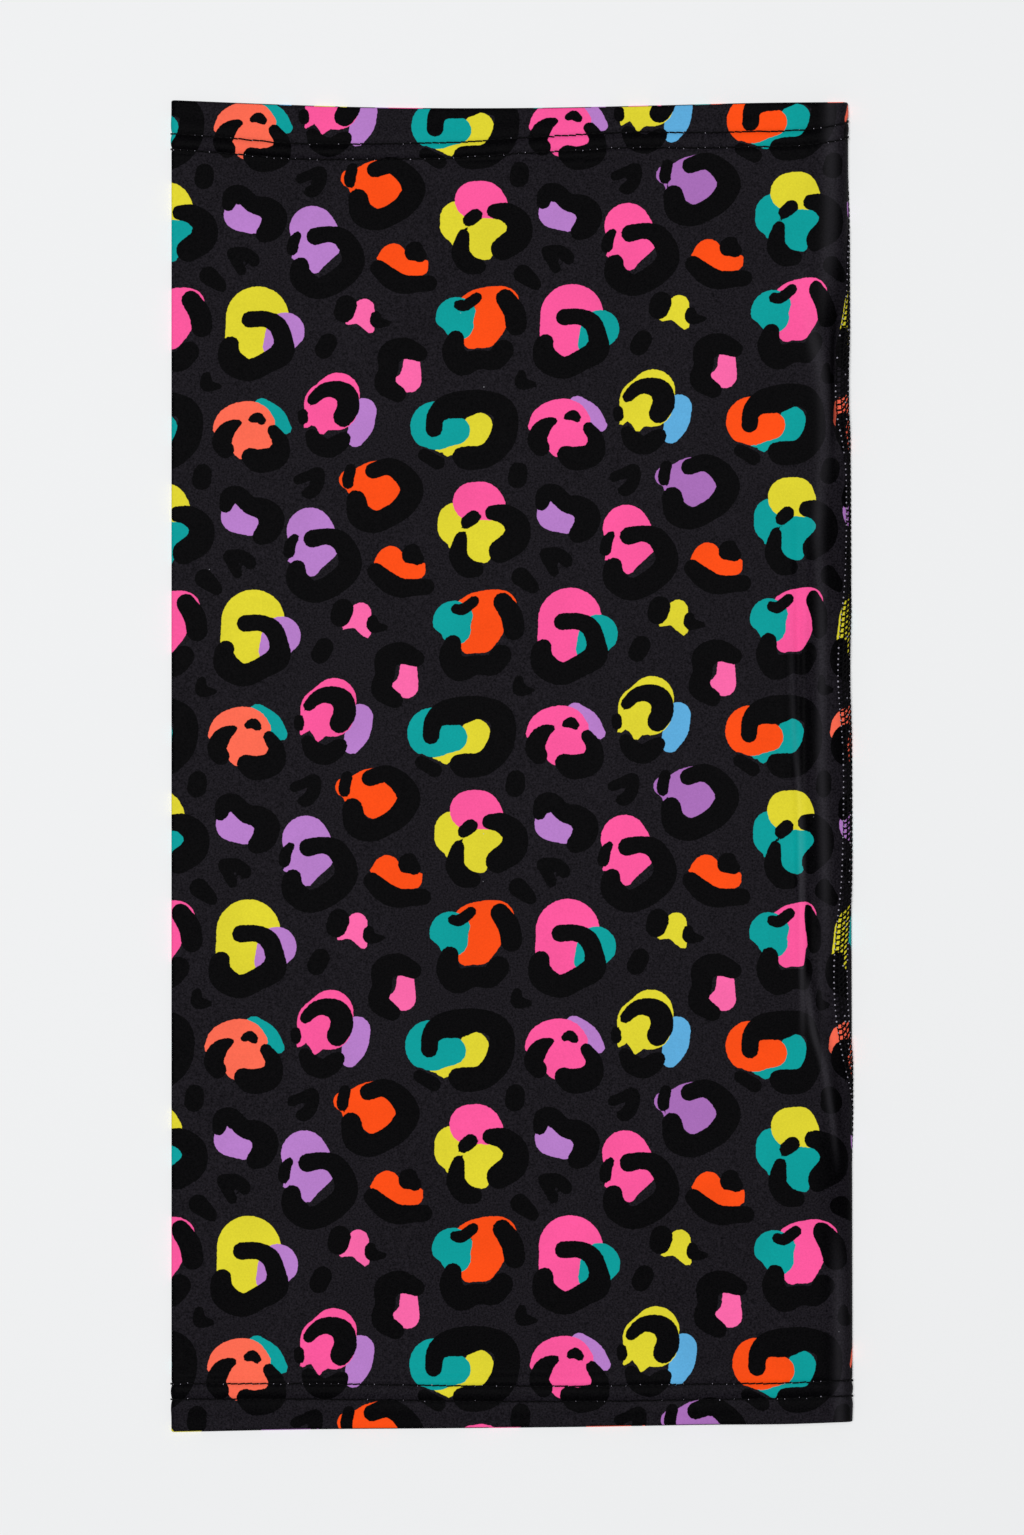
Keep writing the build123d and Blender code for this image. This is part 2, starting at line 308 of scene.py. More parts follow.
# name: (the patches' colours, first in one repeat and then in the next), under, over, black
ROSETTES = {
    "hook_large": (
        (("yellow", "lilac"), ("pink", "teal")),
        [[(31.3, 55.6, 11.6), (31.0, 59.8, 11.3)], [(28.5, 63.0, 9.0), (29.5, 66.5, 4.7)]],
        [[(41.6, 61.0, 7.2), (38.8, 64.9, 5.0), (37.0, 66.5, 3.5)]],
        [[(28.5, 56.3, 3.1), (34.3, 56.2, 3.0), (38.8, 58.6, 3.4), (40.9, 63.9, 3.5),
          (40.6, 68.9, 4.4), (35.3, 72.2, 4.0), (28.3, 75.2, 4.1), (22.1, 71.9, 4.6),
          (20.8, 67.2, 3.6), (21.6, 65.6, 3.1)]],
    ),
    "pair_small": (
        (("rose",), ("yellow",)),
        [[(70.7, 52.6, 3.8), (71.2, 56.0, 3.4), (73.1, 60.4, 1.4)],
         [(70.3, 54.8, 3.0), (64.2, 57.9, 0.7)]],
        [],
        [[(64.1, 51.4, 4.0), (63.3, 53.9, 3.8)],
         [(75.0, 55.2, 1.9), (75.5, 57.6, 2.3), (80.2, 58.0, 0.9)]],
    ),
    "dot_middle": (
        (), [], [],
        [[(57.5, 65.0, 3.4), (56.0, 67.7, 3.4)]],
    ),
    "open_c": (
        (("rose",), ("rose",)),
        [[(88.3, 72.4, 3.1), (88.2, 76.9, 3.6), (87.7, 79.4, 4.3)],
         [(86.3, 79.6, 3.6), (81.4, 79.9, 1.0)]],
        [],
        [[(91.2, 69.4, 3.0), (85.5, 67.3, 4.0), (80.2, 69.4, 4.2), (79.8, 75.1, 3.6),
          (78.5, 80.6, 3.8), (83.4, 84.4, 3.0)]],
    ),
    "cup": (
        (("orange", "teal"), ("pink", "teal")),
        [[(106.8, 49.0, 0.7), (112.3, 48.7, 3.2), (118.3, 48.9, 4.4), (122.5, 49.7, 4.8),
          (126.3, 50.4, 1.2)], [(118.1, 51.4, 6.5), (117.3, 57.4, 6.2), (114.9, 61.9, 5.5)],
         [(114.3, 62.4, 5.2), (110.3, 64.8, 3.0)]],
        [[(104.7, 56.0, 7.6), (105.6, 58.9, 5.5)]],
        [[(105.5, 51.3, 1.9), (108.0, 51.6, 2.1), (112.1, 48.6, 2.0)],
         [(122.6, 49.0, 3.5), (125.9, 54.0, 4.0), (126.8, 59.0, 3.9)],
         [(104.4, 64.0, 3.2), (103.6, 68.9, 4.2), (106.8, 73.2, 4.5), (112.8, 71.7, 3.6),
          (118.8, 72.0, 3.7), (122.0, 68.4, 4.0)]],
    ),
    "wedge": (
        (), [], [],
        [[(12.8, 77.3, 1.7), (13.0, 80.7, 2.4), (17.6, 81.2, 1.0)]],
    ),
    "mask": (
        (("teal", "coral"), ("lilac", "pink")),
        [[(33.3, 89.0, 3.4), (38.4, 92.4, 3.5), (42.3, 96.8, 2.1)]],
        [[(17.1, 96.8, 1.8), (22.3, 93.9, 5.4), (29.3, 93.4, 6.7), (34.9, 94.6, 3.4)],
         [(29.3, 95.4, 6.0), (29.1, 100.2, 7.8), (25.8, 106.2, 1.7)],
         [(31.3, 100.4, 6.0), (34.5, 102.3, 3.0)]],
        [[(24.7, 94.8, 1.4), (22.2, 95.9, 2.4), (19.9, 98.4, 3.4), (18.6, 102.0, 3.5),
          (20.2, 104.6, 3.2)], [(29.8, 93.3, 1.4), (31.8, 92.6, 1.9), (33.4, 93.9, 1.6)],
         [(37.6, 97.5, 2.2), (40.4, 102.0, 3.0), (39.1, 107.2, 4.2), (32.8, 108.8, 4.4),
          (29.3, 107.2, 3.3)]],
    ),
    "ring": (
        (("lilac", "pink"), ("blue", "yellow")),
        [[(70.6, 90.6, 4.9), (69.9, 95.8, 4.6), (67.9, 100.6, 3.2)]],
        [[(61.2, 84.4, 7.9), (60.8, 89.6, 7.9)], [(61.2, 84.4, 7.9), (56.2, 87.2, 7.1)],
         [(56.2, 93.3, 5.4), (55.6, 98.4, 1.0)],
         [(51.8, 88.0, 2.7), (51.0, 93.5, 1.8), (49.4, 96.2, 0.7)]],
        [[(52.0, 86.2, 2.1), (55.6, 83.0, 2.6), (60.2, 82.4, 3.2), (64.2, 84.4, 4.0),
          (65.2, 89.0, 4.1), (63.4, 92.5, 3.8)], [(48.4, 91.4, 1.9), (48.6, 93.6, 1.9)],
         [(51.6, 99.2, 2.3), (54.0, 102.6, 3.5), (58.3, 104.3, 3.5), (62.0, 102.2, 3.4),
          (63.8, 100.6, 2.4)]],
    ),
    "wave": (
        (("yellow", "teal"), ("teal", "orange")),
        [[(112.9, 96.7, 5.4), (112.1, 98.6, 5.2), (105.3, 103.6, 2.0), (100.8, 104.5, 1.3),
          (97.2, 104.5, 0.5)], [(105.3, 104.0, 1.8), (101.9, 105.8, 1.4)],
         [(97.4, 104.6, 0.5), (102.5, 106.7, 0.9)]],
        [[(97.1, 96.2, 9.1), (100.3, 98.0, 6.2), (105.0, 98.0, 5.0)]],
        [[(96.7, 97.3, 3.1), (97.4, 92.2, 3.3), (101.3, 89.2, 4.4), (107.3, 88.3, 5.1),
          (113.8, 87.1, 4.1), (120.2, 88.9, 4.3), (123.0, 92.2, 4.4), (122.8, 97.6, 4.8),
          (121.0, 102.6, 4.8), (116.0, 107.4, 4.3), (109.3, 108.1, 4.4), (106.7, 107.3, 3.2)],
         [(93.1, 106.8, 2.3), (98.3, 109.8, 2.6)]],
    ),
    "dot_top": (
        (), [], [],
        [[(11.9, 1.2, 3.4), (11.6, 3.9, 3.6)]],
    ),
    "claw": (
        (("orange",), ("violet",)),
        [[(76.8, 6.4, 8.8), (65.5, 3.7, 3.5)], [(67.3, 5.4, 3.0), (66.0, 9.3, 0.5)],
         [(69.8, 1.4, 2.2), (72.3, -1.2, 1.2), (76.8, -3.2, 0.3)]],
        [],
        [[(74.5, 0.5, 3.0), (80.6, -1.0, 3.2), (86.1, 2.6, 3.9), (88.9, 7.9, 4.3),
          (86.1, 13.4, 4.2), (81.9, 16.7, 3.9), (75.5, 19.4, 4.0), (69.9, 17.2, 4.3),
          (68.4, 11.4, 3.7)], [(66.2, 0.0, 2.1), (65.3, 3.6, 2.2), (65.4, 5.2, 2.1)]],
    ),
    "tick": (
        (), [], [],
        [[(47.1, 3.7, 1.9), (50.5, 2.4, 1.9), (54.4, 1.2, 2.2), (54.1, 5.4, 2.4), (51.8, 8.4, 2.4),
          (49.9, 8.6, 1.7)]],
    ),
    "star": (
        (("lilac",), ("lilac",)),
        [[(23.8, 16.9, 5.0), (24.8, 17.9, 5.2), (29.8, 20.2, 4.1)]],
        [],
        [[(20.6, 13.4, 2.4), (21.8, 9.8, 3.2), (25.3, 9.3, 3.2), (29.6, 13.2, 3.3),
          (34.3, 14.4, 4.0), (37.5, 17.8, 4.7), (36.5, 22.2, 4.4), (33.9, 24.4, 3.3)]],
    ),
    "shell": (
        (("lilac",), ("pink",)),
        [[(51.5, 22.4, 8.4), (52.8, 24.2, 8.3)], [(53.8, 29.9, 8.0), (52.6, 36.9, 2.4)],
         [(47.3, 31.7, 3.0), (44.2, 33.6, 0.6)]],
        [],
        [[(52.6, 25.4, 3.3), (57.8, 24.6, 3.0), (62.8, 26.2, 3.6), (66.3, 31.9, 4.1),
          (65.9, 37.2, 4.3), (60.1, 42.4, 4.3), (53.3, 44.9, 4.0), (47.9, 41.4, 4.3),
          (46.8, 37.2, 3.4), (47.3, 36.2, 3.0)],
         [(46.1, 24.9, 1.5), (44.6, 27.3, 2.1), (44.1, 30.4, 2.2)]],
    ),
    "slipper": (
        (("orange",), ("orange",)),
        [[(81.3, 33.8, 5.4), (85.8, 36.9, 3.7), (91.4, 37.5, 2.8)],
         [(80.8, 33.4, 5.0), (75.6, 33.9, 0.5)], [(91.8, 36.9, 2.3), (93.7, 35.0, 0.6)]],
        [],
        [[(89.3, 31.4, 3.9), (91.4, 33.0, 2.4)],
         [(75.9, 37.4, 3.1), (80.3, 41.3, 3.8), (85.0, 43.5, 3.6), (90.3, 43.4, 3.1),
          (94.6, 43.2, 3.0)]],
    ),
    "clover": (
        (("yellow", "pink"), ("teal", "yellow")),
        [[(104.9, 18.9, 6.4), (105.1, 21.4, 6.7)], [(105.3, 25.4, 4.0), (103.2, 28.6, 0.6)],
         [(110.8, 22.9, 3.5), (113.5, 26.9, 5.2), (113.8, 29.4, 4.6), (115.6, 32.2, 2.5)],
         [(112.4, 31.0, 3.0)], [(116.3, 22.9, 4.6), (120.8, 23.0, 3.6)]],
        [[(110.9, 12.1, 7.0), (114.8, 12.0, 6.9), (117.9, 13.8, 5.4)]],
        [[(109.2, 19.7, 2.4), (111.5, 17.9, 2.6)],
         [(107.1, 25.3, 2.3), (106.3, 29.4, 3.1), (106.3, 32.7, 3.5), (109.1, 36.2, 3.6),
          (112.8, 37.1, 2.8)],
         [(118.5, 16.3, 2.8), (123.3, 17.0, 3.7), (127.6, 20.9, 4.5), (127.0, 26.4, 4.9),
          (121.6, 30.4, 4.4)]],
    ),
    "hook_small": (
        (), [], [],
        [[(21.9, 31.4, 2.0), (26.3, 31.4, 2.2), (29.3, 33.4, 2.4), (30.1, 34.6, 2.1)],
         [(22.6, 32.8, 2.2), (25.4, 38.2, 1.8)]],
    ),
    "pebble": (
        (), [], [],
        [[(13.2, 39.9, 3.5), (17.2, 43.2, 2.5), (18.4, 44.6, 1.5)]],
    ),
}
FAR = 6.0  # beyond this distance a stroke's exact distance doesn't matter
FILLET = 0.9  # how roundly strokes of one rosette run into each other


def smooth_stroke(points):
    """Points along a smooth curve through the points of a stroke, radius included."""
    p = np.array(points, float)
    if len(p) < 3:
        return p
    t = np.arange(len(p))
    fine = np.linspace(0, len(p) - 1, 4 * (len(p) - 1) + 1)
    return np.stack([spline(list(zip(t, p[:, i])), fine) for i in range(3)], 1)


def stroke_distance(q, points):
    """Signed distance from the points q to a stroke, below zero inside it."""
    p = smooth_stroke(points)
    if len(p) == 1:
        return np.hypot(q[:, 0] - p[0, 0], q[:, 1] - p[0, 1]) - p[0, 2]
    best = np.full(len(q), 1e3)
    for a, b in zip(p[:-1], p[1:]):
        d = b[:2] - a[:2]
        t = np.clip(((q - a[:2]) @ d) / (d @ d), 0, 1)
        gap = np.hypot(q[:, 0] - a[0] - t * d[0], q[:, 1] - a[1] - t * d[1])
        best = np.minimum(best, gap - (a[2] + t * (b[2] - a[2])))
    return best


def blend(a, b, k):
    """The smaller of two distances, rounded where they meet."""
    h = np.maximum(k - np.abs(a - b), 0) / k
    return np.minimum(a, b) - h * h * k / 4


def print_fields(px, py):
    """The print at places given in repeats: distances into black, the under and the over patch,
    and the colours of the two patches."""
    count = len(px)
    fields = {name: np.full(count, FAR) for name in ("under", "over", "black")}
    colours = {"under": np.zeros((count, 3)), "over": np.zeros((count, 3))}
    for ways, under, over, black in ROSETTES.values():
        strokes = np.array([p for s in under + over + black for p in s], float)
        middle = (strokes[:, :2].min(0) + strokes[:, :2].max(0)) / 2
        reach = np.abs(strokes[:, :2] - middle).max(0) + strokes[:, 2].max() + FAR
        gx = px - middle[0] / REPEAT_X
        gy = py - middle[1] / REPEAT_Y
        column = np.floor(gx + 0.5)
        qx = (gx - column) * REPEAT_X
        qy = (gy - np.floor(gy + 0.5)) * REPEAT_Y
        near = np.nonzero((np.abs(qx) < reach[0]) & (np.abs(qy) < reach[1]))[0]
        q = np.stack([qx[near] + middle[0], qy[near] + middle[1]], 1)
        way = column[near].astype(int) % 2
        for which, (name, group) in enumerate(zip(fields, (under, over, black))):
            if not group:
                continue
            d = None
            for stroke in group:
                e = stroke_distance(q, stroke)
                d = e if d is None else blend(d, e, FILLET)
            nearer = d < fields[name][near]
            at = near[nearer]
            fields[name][at] = d[nearer]
            if name == "black":
                continue
            pair = [PRINT_COLOURS[c[which]] for c in ways]
            colours[name][at] = np.array(pair, float)[way[nearer]] / 255
    return fields, colours


# How far the print is pulled across, along the tube
PULL = [(-240, -1.1), (-205, -1.6), (-165, -2.6), (-110, -2.8), (-55, -3.0), (0, -2.1),
        (55, -1.6), (110, -0.8), (165, -0.3), (205, 0.0), (240, 0.1)]


def print_shift(x, y):
    """How far the cloth has been pulled out of the print's even spacing, in mm."""
    waist = smooth((y + 80) / 60) * smooth((150 - y) / 60)
    beside_roll = smooth((x - 82) / 20)
    dx = spline(PULL, y) - 0.0065 * x * smooth((230 - y) / 70) - 1.1 * beside_roll * waist
    right = np.clip((x + 95) / 175, 0, 1.2) ** 1.5
    dy = 0.1 + right * (0.4 + 1.0 * smooth((y + 60) / 180) + 1.3 * smooth((-y - 150) / 60))
    dy = dy + beside_roll * (0.9 * smooth((y - 110) / 60) - 0.6 * smooth((120 - y) / 60))
    return dx, dy


# Where the print lies on the cloth: PRINT_X mm across is START_X repeats from the print's left,
# and the middle of the tube START_Y from its top. Towards the upper opening the print leans
# over, and its repeats, MIDDLE_Y high in the middle, get narrower and shorter.
PRINT_X = 29.5
START_X, START_Y = 1.3255, 1.9625
LEAN = 0.0054
NARROWING, SHORTENING = 0.0081, 0.0215
MIDDLE_Y = 112.3


def print_place(x, y):
    """Where a spot of the cloth, x mm across and y mm along, lies in the print, in repeats."""
    dx, dy = print_shift(x, y)
    x, y = x - dx, y - dy
    px = (x - PRINT_X + LEAN * y) / (REPEAT_X - NARROWING * y) + START_X
    py = np.log((MIDDLE_Y - SHORTENING * y) / MIDDLE_Y) / SHORTENING + START_Y
    return px, py


# -------- meshes

def add_object(name, data):
    obj = bpy.data.objects.new(name, data)
    bpy.context.scene.collection.objects.link(obj)
    return obj


def make_mesh(name, points, faces):
    """A mesh object from points in mm and faces, each a row of corner numbers."""
    mesh = bpy.data.meshes.new(name)
    mesh.from_pydata((np.asarray(points) * MM).tolist(), [], faces)
    mesh.update()
    mesh.polygons.foreach_set("use_smooth", [True] * len(mesh.polygons))
    return add_object(name, mesh)


def column_places(half):
    """Ways round the cloth for the mesh's columns, closer together at the two folds."""
    def spread(start, end, step):
        return list(np.linspace(start, end, max(2, int(round((end - start) / step)) + 1))[:-1])

    fold = half - 3
    stretches = [(-half, -fold, 0.35), (-fold, -24, 2.2), (-24, -6, 1.0), (-6, 34, 0.7),
                 (34, fold, 1.5), (fold, half, 0.35)]
    return np.array([a for stretch in stretches for a in spread(*stretch)])


HEM_SPACING, MAIN_SPACING = 0.55, 1.45  # between the mesh's rows


def row_places():
    """Places along the cloth's outer face for the mesh's rows, closer together at the hems."""
    edge = HALF_LENGTH - HEM_LAYERS / 2
    fine = HALF_LENGTH - HEM_DEPTH - 3.5
    hem = np.linspace(fine, edge, int((edge - fine) / HEM_SPACING))
    main = np.linspace(-fine, fine, int(2 * fine / MAIN_SPACING))
    return np.concatenate([-hem[::-1], main[1:-1], hem])


DIMPLE = 0.32  # how deep a row of hem stitches lies
PUFF = 0.24  # how high the cloth stands between the two rows
END_PUFF = 0.18  # and between them and the folded end
PUCKER = 0.05  # how much both vary round the tube
PUCKER_PITCH = 21


def dimple(a, v):
    """How far the cloth is drawn down by its hem stitches, and puffed up between the rows."""
    sink = np.zeros_like(v)
    for end in (1, -1):
        first, second = hem_row(a, end, 0), hem_row(a, end, 1)
        sink -= DIMPLE * bell(v - first, 0.8)
        sink -= DIMPLE * bell(v - second, 0.8)
        middle = (first + second) / 2
        sink += PUFF * bell(v - middle, 1.7)
        sink += END_PUFF * bell(v - first - end * 3.5, 2.2)
        sink += PUCKER * np.sin(a * 2 * math.pi / PUCKER_PITCH + end) * bell(v - middle, 6)
    return sink


# The print was cut straight: where the seam's first row runs in it, and how far it leans there
SEAM_PRINT = 128.2
SEAM_LEAN = 0.012
# The roll as the print would follow it ungathered: a quarter oval that starts at ROLL_PLAIN
PLAIN_DROP = 8.0
PLAIN_SHORT = 0.4  # how far short of the right-hand edge it ends
plain_turn = np.linspace(0, math.pi / 2, 200)
plain_x = ROLL_PLAIN + (HALF_WIDTH - PLAIN_SHORT - ROLL_PLAIN) * np.sin(plain_turn)
plain_run = run_along(plain_x, PLAIN_DROP * np.cos(plain_turn))
TUCK = 3.8  # cloth hidden in the tuck near the roll's top
SEAM_TUCK = 3.0  # cloth hidden in the tuck beside the seam

# How much more is taken up near the roll's top, along the tube
EARLY_TUCK = [
    (-240, 1.0), (-205, 1.2), (-180, 2.6), (-140, 3.3), (-100, 3.4), (-75, 2.4), (-50, 2.4),
    (-30, 1.2), (0, 1.0), (60, 1.1), (100, 1.2), (150, 1.4), (190, 2.3), (210, 2.0), (240, 1.0),
]


def print_run(a, v, x):
    """How far across the print a spot of the cloth lies, in mm, with X = 0 in the middle of the
    front. The print starts at the seam's last row and runs all the way round to it again. On the
    roll the cloth is gathered: a tuck near its top and another beside the seam hide some of it."""
    v = np.clip(v, -HALF_LENGTH, HALF_LENGTH)
    unrolled = np.where(a >= seam_row(SEAM_ROWS - 1, v), a, a + perimeter_at(v))
    plain = np.interp(v, along, plain_line)
    shift = edge_shift(v)
    first = seam_row(0, v)
    inset = spline(SEAM_INSET, v)
    plain_end = plain_run[-1]
    run = np.where(unrolled > 0, np.interp(x - shift, plain_x, plain_run), plain_end - unrolled)
    seam_run = np.interp(HALF_WIDTH - inset, plain_x, plain_run)
    run_first = np.where(inset > 0, seam_run, plain_end - first)
    tuck = TUCK * smooth((v + 85) / 12) * smooth((-40 - v) / 10)
    beside = SEAM_TUCK * smooth((v - 95) / 15) * smooth((172 - v) / 12)
    seam = SEAM_PRINT - SEAM_LEAN * v + print_shift(HALF_WIDTH, v)[0]
    early = spline(EARLY_TUCK, v)
    gathered = seam - (ROLL_PLAIN + shift + run_first) - tuck - beside - early
    share = smooth(run / (run_first - 0.5)) ** 1.3
    rolled = ROLL_PLAIN + shift + run + gathered * share
    rolled += early * np.where(unrolled > 0, smooth((x - 104.5) / 8), 1.0)
    rolled += tuck * smooth((x - 105.3) / 0.5) + beside * smooth((first - unrolled + 1.2) / 0.9)
    across = np.where(unrolled < plain, rolled, ROLL_PLAIN + shift + plain - unrolled)
    return np.where(unrolled < first, seam + first - unrolled, across)


# Painted highlight where the gathered cloth catches more light: a line and its width
PAINTED_HIGHLIGHT_LINES = (
    ([(-104, 105, 0), (-90, 105, 0.8), (-70, 104.6, 1.2), (-35, 104.6, 1.2), (-15, 104, 0.8),
      (10, 102, 0.8), (60, 101, 0)], 0.9),
    ([(-85, 113, 0), (-40, 113, 0.8), (0, 112, 1), (50, 112, 1), (80, 111, 0.5),
      (100, 110, 0)], 1.8),
    ([(-150, 118, 0), (-125, 115, 1.1), (-108, 112, 1.3), (-98, 109, 1.4), (-86, 107.3, 1.1),
      (-76, 106.8, 0)], 1.1),
    ([(-125, 117, 0), (-105, 113.5, 0.5), (-80, 111.5, 0.5), (-60, 111, 0)], 1.4),
    ([(75, 110, 0), (90, 111, 0.6), (130, 113, 0.7), (150, 110, 0.9), (165, 106, 0.5),
      (185, 103, 0)], 2.4),
    ([(160, 112, 0), (185, 114.5, 0.8), (235, 115.5, 0.9)], 2.6),
    ([(-240, 118.5, 0.9), (-190, 118, 0.7), (-165, 117, 0)], 2.2),
)
# Where it lies in shadow: a line, its strength and its width
SHADOWS = (
    ([(112, 116.6, 0), (124, 116.6, 1), (155, 116.3, 1), (170, 118, 0.4), (185, 119, 0)], 1.8, 1.5),
    ([(-150, 119.5, 0), (-130, 118.5, 1), (-112, 116, 1), (-98, 113, 1), (-85, 110, 0.7),
      (-60, 108, 0.5), (-45, 107.5, 0)], 0.9, 1.6),
)
ROW_SHADOW = 0.5  # the shadow along the hems' needle rows


def painted_light_and_shade_at(a, x, v):
    """Painted highlight and painted shade: how much the roll's raised lines catch the light, and
    how much its hollows and the hems' needle rows lie in shadow."""
    upper = (a > 0) & (a < perimeter_at(v) / 2)
    light = sum(ridge(x, v, line, 1.0, width) for line, width in PAINTED_HIGHLIGHT_LINES)
    shade = sum(ROW_SHADOW * bell(v - hem_row(a, end, second), 0.65)
                for end in (1, -1) for second in (0, 1))
    return light * upper, shade + sum(ridge(x, v, *shadow) for shadow in SHADOWS) * upper


def make_fabric():
    """The knitted panel: outer face, folded ends, turned-in hems and the reverse, in one skin."""
    half = perimeter.mean() / 2
    columns = column_places(half)
    share = columns / (2 * half)
    edge = HALF_LENGTH - HEM_LAYERS / 2
    raw = HALF_LENGTH - HEM_DEPTH
    turn = np.linspace(0, math.pi, 8)[1:-1]
    radius = HEM_LAYERS / 2
    inside = np.linspace(edge, raw, 12)
    printed = [(-v, HEM_LAYERS) for v in inside[::-1]]
    printed += [(-edge - radius * math.sin(t), radius + radius * math.cos(t)) for t in turn]
    printed += [(v, 0.0) for v in row_places()]
    printed += [(edge + radius * math.sin(t), radius - radius * math.cos(t)) for t in turn]
    printed += [(v, HEM_LAYERS) for v in inside]
    back_of_hem = HEM_LAYERS - CLOTH
    reverse = [(v, back_of_hem) for v in (raw, (raw + edge) / 2, edge)]
    reverse += [(v, CLOTH) for v in np.linspace(edge, -edge, 100)]
    reverse += [(-v, back_of_hem) for v in (edge, (raw + edge) / 2, raw)]
    rows = printed + reverse
    n = len(columns)
    points = np.zeros((len(rows), n, 3))
    print_x = np.zeros((len(rows), n))
    print_y = np.zeros((len(rows), n))
    painted_light_and_shade = np.zeros((len(rows), n, 3))
    for i, (v, depth) in enumerate(rows):
        here = np.full(n, v)
        a = share * perimeter_at(np.clip(v, -HALF_LENGTH, HALF_LENGTH))
        inner = np.clip(v, -edge, edge)
        p, _ = on_cloth(a, inner, dimple(a, here) if depth == 0 else -depth)
        p[:, 1] += v - inner
        points[i] = p
        print_x[i] = print_run(a, here, p[:, 0])
        # The printed side gets painted highlight and painted shade
        if i < len(printed):
            painted_light_and_shade[i, :, 0], painted_light_and_shade[i, :, 1] = painted_light_and_shade_at(a, p[:, 0], here)
        if depth > HEM_LAYERS / 2:
            end = math.copysign(1, v)
            fold, _ = on_cloth(a, end * edge)
            print_y[i] = fold[:, 1] + end * (edge - abs(v) + 2 * radius)
        else:
            print_y[i] = p[:, 1]
    index = np.arange(len(rows) * n).reshape(len(rows), n)
    after = np.roll(index, -1, 0)
    corners = [after, np.roll(after, -1, 1), np.roll(index, -1, 1), index]
    faces = np.stack(corners, 2).reshape(-1, 4).tolist()
    obj = make_mesh("fabric_panel_cloth", points.reshape(-1, 3), faces)

    px, py = print_place(print_x.ravel(), print_y.ravel())
    fields, colours = print_fields(px, py)
    is_printed = np.repeat(np.arange(len(rows)) < len(printed), n)
    add_attribute(obj, "spots", "FLOAT_VECTOR", np.stack(list(fields.values()), 1))
    add_attribute(obj, "under_colour", "FLOAT_COLOR", opaque(colours["under"]))
    add_attribute(obj, "over_colour", "FLOAT_COLOR", opaque(colours["over"]))
    add_attribute(obj, "printed", "FLOAT", is_printed)
    # Painted highlight and painted shade, for the knit's colour
    add_attribute(obj, "painted_light_and_shade", "FLOAT_VECTOR", painted_light_and_shade)

    # One map for the printed side and a narrow one for the reverse
    run = run_along(*np.array(rows).T)
    last = run[len(printed) - 1]
    up_printed = 0.01 + 0.98 * run / last
    up_reverse = 0.01 + 0.98 * (run - last) / (run[-1] - last + 1)
    uv = np.zeros((len(rows), n, 4, 2))
    for i in range(len(rows)):
        outside = i < len(printed) - 1
        up = up_printed if outside else up_reverse
        low = up[i]
        high = up[i + 1] if i + 1 < len(rows) else 0.995
        left, right = (0.01, 0.84) if outside else (0.86, 0.99)
        places = left + (right - left) * np.arange(n + 1) / n
        uv[i, :, 0, 0] = uv[i, :, 3, 0] = places[:-1]
        uv[i, :, 1, 0] = uv[i, :, 2, 0] = places[1:]
        uv[i, :, :2, 1] = high
        uv[i, :, 2:, 1] = low
    layer = obj.data.uv_layers.new(name="OFBake")
    layer.data.foreach_set("uv", uv.astype(np.float32).ravel())
    return obj


ATTRIBUTE_KEYS = {"FLOAT": "value", "FLOAT_VECTOR": "vector", "FLOAT_COLOR": "color"}


def add_attribute(obj, name, kind, values):
    data = obj.data.attributes.new(name, kind, "POINT").data
    data.foreach_set(ATTRIBUTE_KEYS[kind], np.asarray(values, np.float32).ravel())


def opaque(c):
    """Opaque linear colours from sRGB ones, 0 to 1."""
    c = np.asarray(c, float)
    linear = np.where(c <= 0.04045, c / 12.92, ((c + 0.055) / 1.055) ** 2.4)
    return np.concatenate([linear, np.ones(c.shape[:-1] + (1,))], -1)


# -------- threads

HEM_NEEDLE, SEAM_NEEDLE, SEAM_COVER, LOOPER = 0.29, 0.23, 0.21, 0.13  # thread radii
LOOPER_LIFT = 0.12  # of a looper thread's middle off the cloth
SEAM_CLEAR = 1.3  # from the side seam's rows to the ends of the hem threads
SIDES = 6  # of a thread's or a fibre's section


def tubes(name, middles, normals, radius, taper=0.5):
    """One mesh of many short tubes. middles and normals are arrays of (tubes, points, 3), mm."""
    count, length = middles.shape[:2]
    along_tube = np.gradient(middles, axis=1)
    along_tube /= np.linalg.norm(along_tube, axis=2, keepdims=True)
    side = np.cross(along_tube, normals)
    side /= np.linalg.norm(side, axis=2, keepdims=True)
    up = np.cross(side, along_tube)
    radii = np.full(length, radius)
    radii[0] = radii[-1] = radius * taper
    angle = np.linspace(0, 2 * math.pi, SIDES, endpoint=False)
    ring = (
        up[:, :, None] * np.cos(angle)[:, None]
        + side[:, :, None] * np.sin(angle)[:, None]
    )
    points = middles[:, :, None] + ring * radii[:, None, None]
    index = np.arange(count * length * SIDES).reshape(count, length, SIDES)
    turn = (np.arange(SIDES) + 1) % SIDES
    quads = np.stack(
        [index[:, :-1], index[:, :-1][:, :, turn], index[:, 1:][:, :, turn], index[:, 1:]], -1
    ).reshape(-1, 4)
    caps = np.concatenate([index[:, 0, ::-1], index[:, -1]])
    return make_mesh(name, points.reshape(-1, 3), quads.tolist() + caps.tolist())


def jitter(count, size):
    return np.array([rng.gauss(0, size) for _ in range(count)])


def hem_span(end):
    """The ways round where a hem's threads start and stop, on both sides of the side seam."""
    beside = end * (HALF_LENGTH - 12)
    start = seam_row(0, beside) + SEAM_CLEAR
    stop = perimeter_at(end * (HALF_LENGTH - 10)) + seam_row(SEAM_ROWS - 1, beside) - SEAM_CLEAR
    return start, stop


